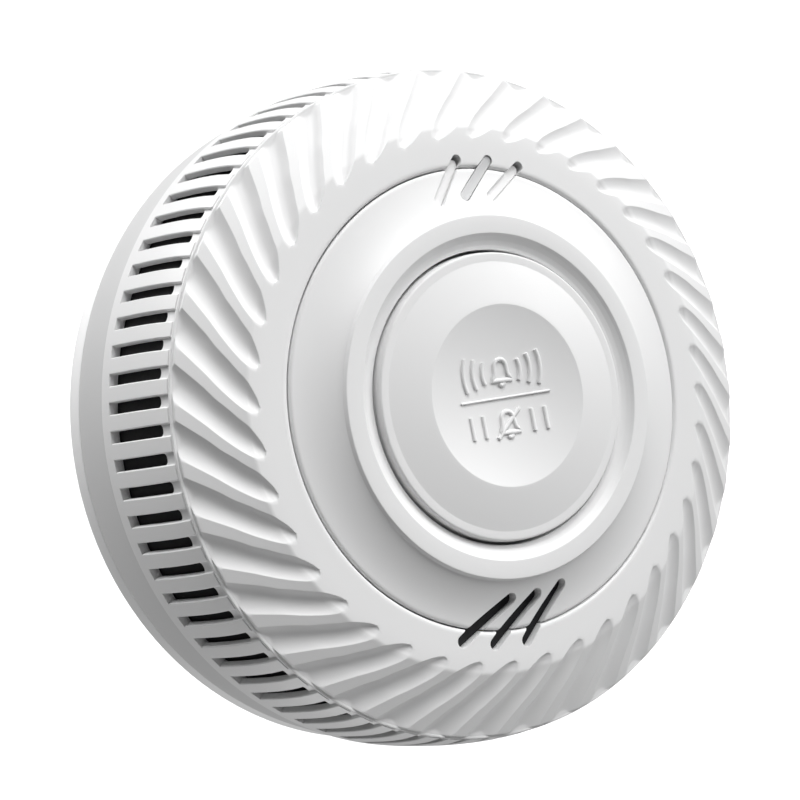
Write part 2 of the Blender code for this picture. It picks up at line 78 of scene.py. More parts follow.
def link(name, mesh, mat=None):
    obj = bpy.data.objects.new(name, mesh)
    bpy.context.scene.collection.objects.link(obj)
    if mat is not None:
        mesh.materials.clear()
        mesh.materials.append(mat)
    return obj


def grid_mesh(name, points, close_rows=True):
    """Quads over a (rows, columns, 3) array of millimetre points; columns always close on themselves."""
    rows, cols = points.shape[:2]
    index = np.arange(rows * cols).reshape(rows, cols)
    a = index if close_rows else index[:-1]
    b = np.roll(index, -1, 0) if close_rows else index[1:]
    quads = np.stack([a, b, np.roll(b, -1, 1), np.roll(a, -1, 1)], -1).reshape(-1, 4)
    mesh = bpy.data.meshes.new(name)
    mesh.from_pydata((points.reshape(-1, 3) * MM).tolist(), [], quads.tolist())
    mesh.update()
    return mesh


def smooth(mesh, angle):
    """Shade smooth, but keep edges steeper than an angle in degrees sharp."""
    mesh.shade_smooth()
    mesh.set_sharp_from_angle(angle=math.radians(angle))
    return mesh


def ring_points(profile, cols, phase=0.0):
    """Turn (radius, height) points, listed down the outer side, about Z."""
    prof = np.array(profile, float)
    th = np.radians(phase) + np.arange(cols) * TAU / cols
    return np.stack([prof[:, :1] * np.cos(th), prof[:, :1] * np.sin(th),
                     np.repeat(prof[:, 1:], cols, 1)], -1)


def rounded(profile, radii, steps=5, closed=True):
    """Round the corners of a profile; radii gives one radius for each corner."""
    pts = [np.array(p, float) for p in profile]
    out = []
    n = len(pts)
    for i, p in enumerate(pts):
        r = radii[i] if i < len(radii) else 0.0
        if r <= 0.0 or (not closed and i in (0, n - 1)):
            out.append(tuple(p))
            continue
        u = pts[i - 1] - p
        v = pts[(i + 1) % n] - p
        lu, lv = np.linalg.norm(u), np.linalg.norm(v)
        u, v = u / lu, v / lv
        half = math.acos(max(-1.0, min(1.0, float(u @ v)))) / 2.0
        cut = min(r / max(math.tan(half), 1e-6), 0.48 * lu, 0.48 * lv)
        a, b = p + u * cut, p + v * cut
        for k in range(steps + 1):
            t = k / steps
            q = a * (1 - t) ** 2 + p * 2 * t * (1 - t) + b * t ** 2
            out.append((float(q[0]), float(q[1])))
    return out


def resample(profile, longest):
    """Split long stretches of an open profile, so no quad is very long."""
    out = [profile[0]]
    for p, q in zip(profile, profile[1:]):
        n = max(1, int(math.hypot(q[0] - p[0], q[1] - p[1]) / longest))
        out += [(p[0] + (q[0] - p[0]) * k / n, p[1] + (q[1] - p[1]) * k / n) for k in range(1, n + 1)]
    return out


def carve(obj, other):
    """Take a cutter out of an object, leaving no modifier behind."""
    mod = obj.modifiers.new("cut", "BOOLEAN")
    mod.operation = "DIFFERENCE"
    mod.solver = "EXACT"
    mod.object = other
    bpy.context.view_layer.update()
    graph = bpy.context.evaluated_depsgraph_get()
    done = bpy.data.meshes.new_from_object(obj.evaluated_get(graph))
    obj.modifiers.remove(mod)
    old = obj.data
    obj.data = done
    bpy.data.meshes.remove(old)


def prism(outline, z0, z1, bm):
    """Upright prism over a closed (x, y) outline, counter-clockwise."""
    low = [bm.verts.new((x * MM, y * MM, z0 * MM)) for x, y in outline]
    top = [bm.verts.new((x * MM, y * MM, z1 * MM)) for x, y in outline]
    bm.faces.new(list(reversed(low)))
    bm.faces.new(top)
    n = len(outline)
    for i in range(n):
        j = (i + 1) % n
        bm.faces.new((low[i], low[j], top[j], top[i]))


def stadium(end_a, end_b, radius, steps=10):
    """Outline of a slot with round ends, from the centres of its two ends."""
    ax, ay = end_a
    bx, by = end_b
    turn = math.atan2(by - ay, bx - ax)
    out = []
    for cx, cy, start in ((bx, by, turn - math.pi / 2), (ax, ay, turn + math.pi / 2)):
        for k in range(steps + 1):
            a = start + math.pi * k / steps
            out.append((cx + radius * math.cos(a), cy + radius * math.sin(a)))
    return out


def to_mesh(name, bm):
    mesh = bpy.data.meshes.new(name)
    bmesh.ops.recalc_face_normals(bm, faces=bm.faces)
    bm.to_mesh(mesh)
    bm.free()
    return mesh


def drop(obj):
    """Remove a cutter or a helper that has done its work."""
    bpy.data.objects.remove(obj, do_unlink=True)


def refinish(obj, angle, mat):
    """Shade a cut mesh and give it one material."""
    smooth(obj.data, angle)
    obj.data.materials.clear()
    obj.data.materials.append(mat)
    return obj


# ---- materials ---------------------------------------------------------------
def abs_plastic(name, light, dark, rough=0.42, grain=0.02, edge=0.14):
    """Moulded ABS: faint mottling, spark-eroded grain, softened edges, and convex edges painted a shade
    lighter as a painted edge highlight.
    """
    mat = bpy.data.materials.new(name)
    mat.use_nodes = True
    nt = mat.node_tree
    nodes, links = nt.nodes, nt.links
    shader = nodes["Principled BSDF"]
    coord = nodes.new("ShaderNodeTexCoord")
    cloud = nodes.new("ShaderNodeTexNoise")
    cloud.inputs["Scale"].default_value = 38.0
    cloud.inputs["Detail"].default_value = 3.0
    links.new(coord.outputs["Object"], cloud.inputs["Vector"])
    tint = nodes.new("ShaderNodeMix")
    tint.data_type = "RGBA"
    tint.inputs[6].default_value = (*dark, 1.0)
    tint.inputs[7].default_value = (*light, 1.0)
    links.new(cloud.outputs["Fac"], tint.inputs[0])
    # convex edges (high pointiness) are mixed a little towards white: a painted edge highlight
    geo = nodes.new("ShaderNodeNewGeometry")
    point = nodes.new("ShaderNodeMapRange")
    point.inputs["From Min"].default_value = 0.5
    point.inputs["From Max"].default_value = 0.62
    point.inputs["To Min"].default_value = 0.0
    point.inputs["To Max"].default_value = 0.05
    links.new(geo.outputs["Pointiness"], point.inputs["Value"])
    painted_edge_highlight = nodes.new("ShaderNodeMix")
    painted_edge_highlight.data_type = "RGBA"
    painted_edge_highlight.inputs[7].default_value = (0.95, 0.95, 0.95, 1.0)
    links.new(point.outputs["Result"], painted_edge_highlight.inputs[0])
    links.new(tint.outputs[2], painted_edge_highlight.inputs[6])
    links.new(painted_edge_highlight.outputs[2], shader.inputs["Base Color"])
    smear = nodes.new("ShaderNodeTexNoise")
    smear.inputs["Scale"].default_value = 160.0
    smear.inputs["Detail"].default_value = 4.0
    links.new(coord.outputs["Object"], smear.inputs["Vector"])
    rrange = nodes.new("ShaderNodeMapRange")
    rrange.inputs["To Min"].default_value = rough - 0.05
    rrange.inputs["To Max"].default_value = rough + 0.05
    links.new(smear.outputs["Fac"], rrange.inputs["Value"])
    links.new(rrange.outputs["Result"], shader.inputs["Roughness"])
    bevel = nodes.new("ShaderNodeBevel")
    bevel.samples = 4
    bevel.inputs["Radius"].default_value = edge * MM
    fine = nodes.new("ShaderNodeTexNoise")
    fine.inputs["Scale"].default_value = 5200.0
    fine.inputs["Detail"].default_value = 2.0
    links.new(coord.outputs["Object"], fine.inputs["Vector"])
    bump = nodes.new("ShaderNodeBump")
    bump.inputs["Strength"].default_value = 0.35
    bump.inputs["Distance"].default_value = grain * MM
    links.new(fine.outputs["Fac"], bump.inputs["Height"])
    links.new(bevel.outputs["Normal"], bump.inputs["Normal"])
    links.new(bump.outputs["Normal"], shader.inputs["Normal"])
    shader.inputs["Specular IOR Level"].default_value = 0.5
    mat.diffuse_color = (*light, 1.0)
    return mat


def simple(name, rgb, rough, metal=0.0, grain=0.03, scale=900.0):
    """A plain finish with procedural mottling and a fine bump."""
    mix = 0.15
    mat = bpy.data.materials.new(name)
    mat.use_nodes = True
    nt = mat.node_tree
    nodes, links = nt.nodes, nt.links
    shader = nodes["Principled BSDF"]
    coord = nodes.new("ShaderNodeTexCoord")
    noise = nodes.new("ShaderNodeTexNoise")
    noise.inputs["Scale"].default_value = scale
    noise.inputs["Detail"].default_value = 4.0
    links.new(coord.outputs["Object"], noise.inputs["Vector"])
    tint = nodes.new("ShaderNodeMix")
    tint.data_type = "RGBA"
    tint.inputs[6].default_value = (*[c * (1 - mix) for c in rgb], 1.0)
    tint.inputs[7].default_value = (*[min(1.0, c * (1 + mix)) for c in rgb], 1.0)
    links.new(noise.outputs["Fac"], tint.inputs[0])
    links.new(tint.outputs[2], shader.inputs["Base Color"])
    rrange = nodes.new("ShaderNodeMapRange")
    rrange.inputs["To Min"].default_value = max(0.02, rough - 0.08)
    rrange.inputs["To Max"].default_value = min(1.0, rough + 0.08)
    links.new(noise.outputs["Fac"], rrange.inputs["Value"])
    links.new(rrange.outputs["Result"], shader.inputs["Roughness"])
    bump = nodes.new("ShaderNodeBump")
    bump.inputs["Strength"].default_value = 0.4
    bump.inputs["Distance"].default_value = grain * MM
    links.new(noise.outputs["Fac"], bump.inputs["Height"])
    links.new(bump.outputs["Normal"], shader.inputs["Normal"])
    shader.inputs["Metallic"].default_value = metal
    mat.diffuse_color = (*rgb, 1.0)
    return mat


COVER = abs_plastic("cover_abs", (0.80, 0.80, 0.80), (0.785, 0.787, 0.79), edge=0.16)
INSERT = abs_plastic("insert_abs", (0.80, 0.80, 0.80), (0.785, 0.787, 0.79), edge=0.14)
BUTTON = abs_plastic("button_abs", (0.79, 0.79, 0.79), (0.775, 0.777, 0.78), edge=0.16)
VENT = abs_plastic("vent_abs", (0.80, 0.80, 0.80), (0.785, 0.787, 0.79), edge=0.16)
# the rear housing's grey is darker than the other shells: painted shade for its back-tilted band, which
# faces away from the light
HOUSING_PAINTED_SHADE = abs_plastic("housing_abs_painted_shade", (0.66, 0.66, 0.66), (0.645, 0.647, 0.65), edge=0.2)
PLATE = abs_plastic("plate_abs", (0.92, 0.92, 0.92), (0.905, 0.907, 0.91), rough=0.5, edge=0.25)
INNER = abs_plastic("inner_abs", (0.76, 0.76, 0.76), (0.74, 0.742, 0.745), rough=0.5, edge=0.1)
GUIDE = abs_plastic("light_guide", (0.46, 0.465, 0.47), (0.44, 0.445, 0.45),
                    rough=0.22, grain=0.008, edge=0.1)
# near-black sheets put behind the side openings and down the lower face slots: painted shade
PAINTED_SHADE_BLACK = simple("painted_shade_black", (0.006, 0.006, 0.007), 0.8, grain=0.05, scale=1400.0)
BLACK = simple("black_polymer", (0.018, 0.018, 0.02), 0.6)
BOARD = simple("solder_mask", (0.02, 0.09, 0.045), 0.45)


# ---- front cover ---------------------------------------------------------------
# the cover's face in section: radius and height
SHOULDER = np.array([(39.0, 42.2), (43.0, 42.15), (46.1, 42.02), (46.5, 41.93), (47.0, 41.72),
                     (52.0, 39.62), (55.0, 38.32), (58.0, 37.0)])
# edges of one scoop: radius, and degrees from the scoop's own start
FLUTE_LEFT = np.array([(44.40, -1.2), (44.6, -2.3), (44.9, -3.27), (45.8, -5.27), (46.6, -6.73),
                       (48.0, -8.55), (49.4, -10.36), (51.07, -12.18), (52.55, -14.0), (54.36, -15.8),
                       (55.84, -17.1), (57.4, -18.4)])
FLUTE_RIGHT = np.array([(44.40, -1.0), (44.6, -0.3), (45.0, 0.0), (45.5, 0.0), (46.3, -0.3), (46.8, -0.73),
                        (48.1, -2.18), (49.6, -4.0), (51.07, -5.8), (52.55, -7.6),
                        (54.36, -9.45), (55.7, -10.7), (57.4, -12.2)])
# slope of a scoop's cross-section, from its steep left crease to its long right flank
FLUTE_SLOPE = np.array([(0.0, -1.3), (0.06, -1.05), (0.15, -0.72), (0.25, -0.36), (0.38, 0.0), (0.5, 0.22),
                        (0.65, 0.38), (0.8, 0.5), (1.0, 0.66)])
LEDGE_Z = 36.86           # no scoop reaches below the ledge round the rim
FLUTE_LEAN = 1.09         # degrees that a scoop sweeps for each millimetre of radius, on average


def curve_at(table, r):
    """Smooth (monotone cubic) reading of a short control table."""
    x, y = table[:, 0], table[:, 1]
    r = np.clip(r, x[0], x[-1])
    h = np.diff(x)
    d = np.diff(y) / h
    m = np.zeros_like(y)
    m[1:-1] = np.where(d[:-1] * d[1:] > 0, 2 * d[:-1] * d[1:] / (d[:-1] + d[1:] + 1e-12), 0.0)
    m[0], m[-1] = d[0], d[-1]
    i = np.clip(np.searchsorted(x, r) - 1, 0, len(x) - 2)
    t = (r - x[i]) / h[i]
    return ((2 * t ** 3 - 3 * t ** 2 + 1) * y[i] + (t ** 3 - 2 * t ** 2 + t) * h[i] * m[i]
            + (-2 * t ** 3 + 3 * t ** 2) * y[i + 1] + (t ** 3 - t ** 2) * h[i] * m[i + 1])


def shoulder_z(r):
    """Height of the cover's face at a radius, before the scoops."""
    return curve_at(SHOULDER, np.asarray(r, float))


def flute_shape(across):
    """Positions and depths over a scoop of unit width, from integrating its slope."""
    v = np.linspace(0.0, 1.0, 401)
    s = np.interp(v, FLUTE_SLOPE[:, 0], FLUTE_SLOPE[:, 1])
    depth = -np.concatenate([[0.0], np.cumsum((s[1:] + s[:-1]) / 2 * np.diff(v))])
    depth -= v * depth[-1]
    u = np.linspace(0.0, 1.0, across + 1) ** 1.12
    return u, np.interp(u, v, depth)


def flute_columns(r, across=20, land=6):
    """Angles and depths of one pitch of columns at radius r: a scoop, then a flat land."""
    left = curve_at(FLUTE_LEFT, np.array([r]))[0]
    right = curve_at(FLUTE_RIGHT, np.array([r]))[0]
    lean = math.radians(FLUTE_LEAN) * r
    width = max(0.0, math.radians(right - left) * r * math.cos(math.atan(lean)))
    u, shape = flute_shape(across)
    angles = left + u * (right - left)
    rest = right + (left + 360.0 / FLUTES - right) * np.arange(1, land) / land
    return np.concatenate([angles, rest]), np.concatenate([shape * width, np.zeros(land - 1)])


def flute_row(r, sink=0.0):
    """One row of points round the shoulder at radius r, scoops included."""
    ang, dep = flute_columns(r)
    th = np.radians(np.concatenate([ang + 360.0 * k / FLUTES for k in range(FLUTES)]) + FLUTE_PHASE)
    rr = np.full(len(th), r)
    return rr, th, np.maximum(shoulder_z(rr) - np.tile(dep, FLUTES), LEDGE_Z) - sink


def flute_grid():
    """The scooped shoulder of the cover, from just inside the scoop tips to the ledge round the rim."""
    radii = [*np.linspace(FLANK_R, 46.6, 20), *np.linspace(46.85, 55.0, 26),
             *np.linspace(55.2, RIM_R - 0.12, 9)]
    rows = [flute_row(r) for r in radii]
    rows.append(flute_row(RIM_R - 0.04, 0.02))
    edge, th, z = flute_row(RIM_R, 0.0)
    for part in (0.12, 0.5, 0.97):
        rows.append((edge, th, np.maximum(z - 0.05, LEDGE_Z) * (1 - part) + LEDGE_Z * part))
    flat = np.ones(len(th))
    lip = ((57.12, LEDGE_Z), (57.3, LEDGE_Z - 0.02), (57.38, LEDGE_Z - 0.1), (57.38, 36.45), (57.0, 36.3))
    for r, z in lip:
        rows.append((flat * r, th, flat * z))
    return rows


def make_cover(slots):
    """Flat ring with the face slots cut through it, welded to the scooped shoulder."""
    rows = flute_grid()
    th0 = rows[0][1]
    flat = []
    groove = ((FLANK_R, COVER_BACK_Z), (39.3, 39.6), (39.3, 40.5), (39.3, 41.5), (39.33, 41.6),
              (39.44, 41.92), (39.64, 42.12), (39.8, 42.19))
    for r, z in groove:
        flat.append((np.full(len(th0), r), th0, np.full(len(th0), z)))
    for r in (40.3, 41.0, 42.0, 43.0, 43.7, FLANK_R):
        flat.append((np.full(len(th0), r), th0, np.full(len(th0), float(shoulder_z([r])[0]))))
    inner = np.stack([np.stack([r * np.cos(t), r * np.sin(t), z], -1) for r, t, z in flat])
    ring = link("cover_inner", grid_mesh("cover_inner", inner))
    carve(ring, slots)
    outer_rows = rows + [(np.full(len(th0), FLANK_R), th0, np.full(len(th0), COVER_BACK_Z))]
    outer = np.stack([np.stack([r * np.cos(t), r * np.sin(t), z], -1) for r, t, z in outer_rows])
    shell = grid_mesh("cover_outer", outer, close_rows=False)
    bm = bmesh.new()
    bm.from_mesh(ring.data)
    wall = [f for f in bm.faces if all(abs(v.co.to_2d().length - FLANK_R * MM) < 2e-6 for v in f.verts)]
    bmesh.ops.delete(bm, geom=wall, context="FACES")
    bm.from_mesh(shell)
    bmesh.ops.remove_doubles(bm, verts=bm.verts, dist=2e-6)
    bmesh.ops.recalc_face_normals(bm, faces=bm.faces)
    mesh = bpy.data.meshes.new("cover_shell")
    bm.to_mesh(mesh)
    bm.free()
    drop(ring)
    return link("cover_shell", smooth(mesh, 30.0), COVER)


# ---- centre insert ----------------------------------------------------------------
def cone_z(r):
    """Height of the insert's hollow flank, which steepens towards the bezel."""
    rise = np.maximum(0.0, INSERT_R - np.asarray(r, float))
    return GROOVE_Z + 0.12 * rise + 0.027 * rise ** 2


def make_insert(slots):
    """Dished insert and the bezel round the button, cut by the face slots."""
    top = [(24.95, 39.8), (24.95, 44.2), (25.6, 44.35), (26.4, 44.72), (27.1, 45.2), (27.55, BEZEL_Z),
           (30.6, BEZEL_Z), (BEZEL_R, float(cone_z(BEZEL_R)))]
    flank = [(r, float(cone_z(r))) for r in np.linspace(31.25, 38.7, 26)]
    tail = [(38.95, 42.12), (INSERT_R, 41.9), (INSERT_R, 39.4), (28.2, 40.0), (28.2, 38.2), (8.0, 38.2),
            (8.0, 39.8)]
    head = rounded(top, [0.0, 0.15, 0.5, 0.8, 0.6, 0.16, 0.22, 0.0], 5, closed=False)
    points = ring_points(resample(head, 1.0) + flank + tail, 288)
    obj = link("insert_dish", grid_mesh("insert_dish", points))
    carve(obj, slots)
    return refinish(obj, 30.0, INSERT)


def slot_ends(index, opposite):
    """Centres of the outer and inner end of an upper slot, or of a lower one, opposite."""
    turn = SLOT_PITCH * index + (180.0 if opposite else 0.0)
    return tuple(polar(r, angle + turn) for r, angle in (SLOTS_LOWER if opposite else SLOTS_UPPER))


def slot_cutters():
    """Upright cutters for the six face slots."""
    bm = bmesh.new()
    for opposite in (False, True):
        for index in range(3):
            a, b = slot_ends(index, opposite)
            prism(stadium(a, b, SLOT_R_LOWER if opposite else SLOT_R), 34.0, 47.0, bm)
    return link("slot_cutters", to_mesh("slot_cutters", bm))


def face_z(r):
    """Height of the face at a radius, on the insert or on the cover."""
    return float(cone_z(r)) if r < GROOVE_R else float(shoulder_z([r])[0])


def finger(name, a, b, radius, sink, mat):
    """Tongue in a face slot, whose top follows the face a given depth below it."""
    bm = bmesh.new()
    grid = []
    outline = stadium(a, b, radius, 12)
    for scale, extra in ((0.0, 0.0), (0.5, 0.0), (0.94, 0.0), (1.0, 0.06)):
        loop = []
        for x, y in outline:
            rim = Vector((x, y))
            end = min(Vector(b), Vector(a), key=lambda c: (rim - c).length)
            q = end + (rim - end) * scale
            loop.append(q.to_tuple() + (face_z(q.length) - sink - extra,))
        grid.append(loop)
    grid.append([(x, y, 38.0) for x, y, z in grid[-1]])
    verts = [[bm.verts.new((x * MM, y * MM, z * MM)) for x, y, z in loop] for loop in grid]
    n = len(outline)
    for p, q in zip(verts, verts[1:]):
        for i in range(n):
            j = (i + 1) % n
            bm.faces.new((p[i], p[j], q[j], q[i]))
    bm.faces.new(verts[-1])
    bmesh.ops.remove_doubles(bm, verts=bm.verts, dist=1e-7)
    mesh = to_mesh(name, bm)
    return link(name, smooth(mesh, 30.0), mat)


def make_fingers():
    """Light guide flush in the middle upper slot, and pale floors a little way down in its neighbours."""
    pieces = [finger("guide_window", *slot_ends(1, False), SLOT_R - 0.1, 0.2, GUIDE)]
    for index in (0, 2):
        a, b = (Vector(end) for end in slot_ends(index, False))
        start = tuple(a + (b - a) * 0.1)
        pieces.append(finger("guide_floor_%d" % index, start, tuple(b), SLOT_R - 0.03, 0.75, INNER))
    return pieces


# ---- button --------------------------------------------------------------------------
def dimple_z(r):
    """Height of the finger dimple, part of a ball."""
    ball = (DIMPLE_R ** 2 + DIMPLE_DEPTH ** 2) / (2.0 * DIMPLE_DEPTH)
    inside = np.minimum(np.asarray(r, float), DIMPLE_R)
    return BUTTON_TOP - DIMPLE_DEPTH + ball - np.sqrt(ball ** 2 - inside ** 2)


def make_button():
    """Button cap: the dimple, the sloping rim, the skirt and the stem below."""
    dish = [(r, float(dimple_z(r))) for r in np.linspace(0.0, DIMPLE_R - 0.12, 44)]
    slope = [(r, BUTTON_TOP - 0.03 - 0.15 * (r - DIMPLE_R) - 0.005 * (r - DIMPLE_R) ** 2)
             for r in np.linspace(DIMPLE_R + 0.12, 22.4, 14)]
    low = slope[-1][1] - 0.06
    edge = rounded([(22.7, low), (24.25, low), (24.42, 44.2)], [0.0, 0.45, 0.0], 8, closed=False)
    skirt = [(24.5, 41.2), (22.6, 41.2), (22.6, 43.6), (3.0, 43.0), (3.0, 22.3), (0.0, 22.3)]
    points = ring_points(resample(dish + slope + edge + skirt, 1.2), 256)
    mesh = grid_mesh("button_cap", points, close_rows=False)
    bm = bmesh.new()
    bm.from_mesh(mesh)
    bmesh.ops.remove_doubles(bm, verts=bm.verts, dist=1e-7)
    bmesh.ops.recalc_face_normals(bm, faces=bm.faces)
    bm.to_mesh(mesh)
    bm.free()
    return link("button_cap", smooth(mesh, 8.0), BUTTON)


def stroke(points, width, height, name, closed=False):
    """A raised line on the dimple floor: a round-topped bead that follows a list of (x, y) points."""
    pts = [Vector(p) for p in points]
    ring = [(-1.0, -0.6), (-0.92, 0.45), (-0.55, 0.86), (0.0, 1.0), (0.55, 0.86), (0.92, 0.45), (1.0, -0.6)]
    bm = bmesh.new()
    loops = []
    n = len(pts)
    for i, p in enumerate(pts):
        if closed:
            way = (pts[(i + 1) % n] - pts[i - 1]).normalized()
        else:
            way = (pts[min(i + 1, n - 1)] - pts[max(i - 1, 0)]).normalized()
        side = Vector((-way.y, way.x))
        loop = []
        for a, h in ring:
            q = p + side * a * width / 2
            loop.append(bm.verts.new((q.x * MM, q.y * MM, (float(dimple_z(q.length)) + h * height) * MM)))
        loops.append(loop)
    pairs = list(zip(loops, loops[1:])) + ([(loops[-1], loops[0])] if closed else [])
    for a, b in pairs:
        for k in range(len(ring)):
            m = (k + 1) % len(ring)
            bm.faces.new((a[k], a[m], b[m], b[k]))
    if not closed:
        bm.faces.new(list(reversed(loops[0])))
        bm.faces.new(loops[-1])
    mesh = to_mesh(name, bm)
    return link(name, smooth(mesh, 50.0), BUTTON)


def arc(cx, cy, radius, start, end, steps=10):
    """Points along an arc, with its angles in degrees."""
    turns = [math.radians(start + (end - start) * k / steps) for k in range(steps + 1)]
    return [(cx + radius * math.cos(a), cy + radius * math.sin(a)) for a in turns]


def bell_outline(cx, cy, size):
    """Closed outline of a hand bell: round crown, flaring skirt, flat lip."""
    crown = arc(cx, cy + 0.35 * size, 0.55 * size, 180.0, 0.0, 10)
    right = [(cx + 0.62 * size, cy - 0.25 * size), (cx + 0.95 * size, cy - 0.72 * size)]
    left = [(cx - 0.95 * size, cy - 0.72 * size), (cx - 0.62 * size, cy - 0.25 * size)]
    pts = crown + right + left
    out = []
    for a, b in zip(pts, pts[1:] + pts[:1]):
        out += [a, ((a[0] + b[0]) / 2, (a[1] + b[1]) / 2)]
    return out


def make_marks():
    """Raised pictograms instead of words: a sounding bell above the rule, a struck-out bell below it."""
    marks = [stroke([(-9.15 + 18.3 * k / 16, -0.3) for k in range(17)], 0.42, 0.3, "mark_rule")]
    wide, tall, size = 0.8, 0.36, 2.2
    for y, silent in ((4.1, False), (-4.7, True)):
        tag = "hush" if silent else "test"
        bell = bell_outline(0.0, y + 0.1, size)
        marks.append(stroke(bell, wide, tall, "mark_%s_bell" % tag, closed=True))
        marks.append(stroke(arc(0.0, y - 1.75, 0.55, 200.0, 340.0, 6), wide, tall, "mark_%s_clapper" % tag))
        if silent:
            marks.append(stroke([(-2.6 + 5.2 * k / 8, y - 2.3 + 4.6 * k / 8) for k in range(9)], wide, tall,
                                "mark_%s_slash" % tag))
        for side in (-1.0, 1.0):
            name = "mark_%s_%s" % (tag, "left" if side < 0 else "right")
            if silent:
                for x in (5.0, 7.6):
                    marks.append(stroke([(side * x, y - 1.9 + 3.8 * k / 6) for k in range(7)], wide, tall,
                                        "%s_bar_%d" % (name, x)))
            else:
                for radius in (3.9, 5.9, 7.9):
                    span = 34.0 - 1.6 * radius
                    mid = 0.0 if side > 0 else 180.0
                    marks.append(stroke(arc(0.0, y, radius, mid - span, mid + span, 8), wide, tall,
                                        "%s_wave_%d" % (name, radius)))
    return marks


# ---- vent wall, rear band, plate ---------------------------------------------------------
# the vent wall's face in section: height and radius
WALL = np.array([(15.9, 60.0), (19.0, 59.85), (26.0, 59.3), (32.0, 58.5), (36.6, 57.45)])


def wall_r(z):
    """Radius of the vent wall's face at a height."""
    return curve_at(WALL, np.asarray(z, float))


def rounded_rect(width, z0, z1, front, rear, steps=5):
    """Outline in (across, height), with rounded front corners and nearly square rear ones."""
    half = width / 2
    out = []
    corners = ((half - front, z1 - front, front, 0.0), (-half + front, z1 - front, front, 90.0),
               (-half + rear, z0 + rear, rear, 180.0), (half - rear, z0 + rear, rear, 270.0))
    for cx, cz, r, start in corners:
        for k in range(steps + 1):
            a = math.radians(start + 90.0 * k / steps)
            out.append((cx + r * math.cos(a), cz + r * math.sin(a)))
    return out


def turned_vert(bm, r, across, z, angle):
    """A vertex at a radius and a distance across it, turned about Z."""
    ca, sa = math.cos(math.radians(angle)), math.sin(math.radians(angle))
    return bm.verts.new(((r * ca - across * sa) * MM, (r * sa + across * ca) * MM, z * MM))


def radial_prism(outline, r0, r1, angle, bm):
    """Prism over an (across, height) outline, standing out along a radius."""
    low, top = [[turned_vert(bm, r, a, z, angle) for a, z in outline] for r in (r0, r1)]
    bm.faces.new(list(reversed(low)))
    bm.faces.new(top)
    n = len(outline)
    for i in range(n):
        j = (i + 1) % n
        bm.faces.new((low[i], low[j], top[j], top[i]))


def make_vent_wall():
    """Outer wall with its openings, each with a flared pocket that runs up to the rim."""
    heights = np.linspace(36.3, 16.0, 24)
    prof = [(float(wall_r(z)), float(z)) for z in heights] + [(59.93, 15.92), (58.2, 15.92), (57.6, 17.3)]
    prof += [(58.35, 18.7)]
    prof += [(float(wall_r(z)) - VENT_WALL, float(z)) for z in np.linspace(18.72, 36.3, 20)]
    wall = link("vent_shell", grid_mesh("vent_shell", ring_points(prof, 400, VENT_PHASE)))
    bm = bmesh.new()
    slot = rounded_rect(VENT_W, *VENT_Z, 0.8, 0.1)
    for k in range(VENTS):
        radial_prism(slot, 50.0, 66.0, VENT_PHASE + 360.0 * k / VENTS, bm)
    cutters = link("vent_cutters", to_mesh("vent_cutters", bm))
    carve(wall, cutters)
    drop(cutters)
    bm = bmesh.new()
    for k in range(VENTS):
        angle = VENT_PHASE + 360.0 * k / VENTS
        rings = []
        for z in np.linspace(18.75, 36.6, 9):
            r = float(wall_r(z))
            left = [(r - 0.55, -POCKET_HALF), (r - 0.16, -POCKET_HALF),
                    (r + 0.1, -FLARE_HALF), (66.0, -FLARE_HALF)]
            cross = left + [(q, -a) for q, a in reversed(left)]
            rings.append([turned_vert(bm, q, a, z, angle) for q, a in cross])
        bm.faces.new(rings[0])
        bm.faces.new(list(reversed(rings[-1])))
        for p, q in zip(rings, rings[1:]):
            for i in range(8):
                j = (i + 1) % 8
                bm.faces.new((p[i], q[i], q[j], p[j]))
    cutters = link("pocket_cutters", to_mesh("pocket_cutters", bm))
    carve(wall, cutters)
    drop(cutters)
    return refinish(wall, 25.0, VENT)


def make_shade_sleeve():
    """Near-black sheet right behind the wall, which closes the view into the case: painted shade where the
    inside is in shadow.
    """
    heights = np.linspace(18.0, 35.3, 8)
    prof = [(float(wall_r(z)) - SLEEVE_BACK, float(z)) for z in heights]
    prof = [(r - 0.3, z) for r, z in prof] + prof[::-1]
    return link("vent_shade_sleeve", smooth(grid_mesh("vent_shade_sleeve", ring_points(prof, 160)), 30.0), PAINTED_SHADE_BLACK)


def make_slot_shade():
    """Near-black sheet a little way down each lower face slot: painted shade in the slot."""
    return [finger("slot_mesh_%d" % index, *slot_ends(index, True), SLOT_R_LOWER - 0.02, SLOT_SHADE_SINK, PAINTED_SHADE_BLACK)
            for index in range(3)]


def arc_prism(radius, half, start, end, z0, z1, bm, steps=10):
    """Upright prism over an arc-shaped slot."""
    rim = [polar(radius + half, start + (end - start) * k / steps) for k in range(steps + 1)]
    rim += [polar(radius - half, end + (start - end) * k / steps) for k in range(steps + 1)]
    prism(rim, z0, z1, bm)


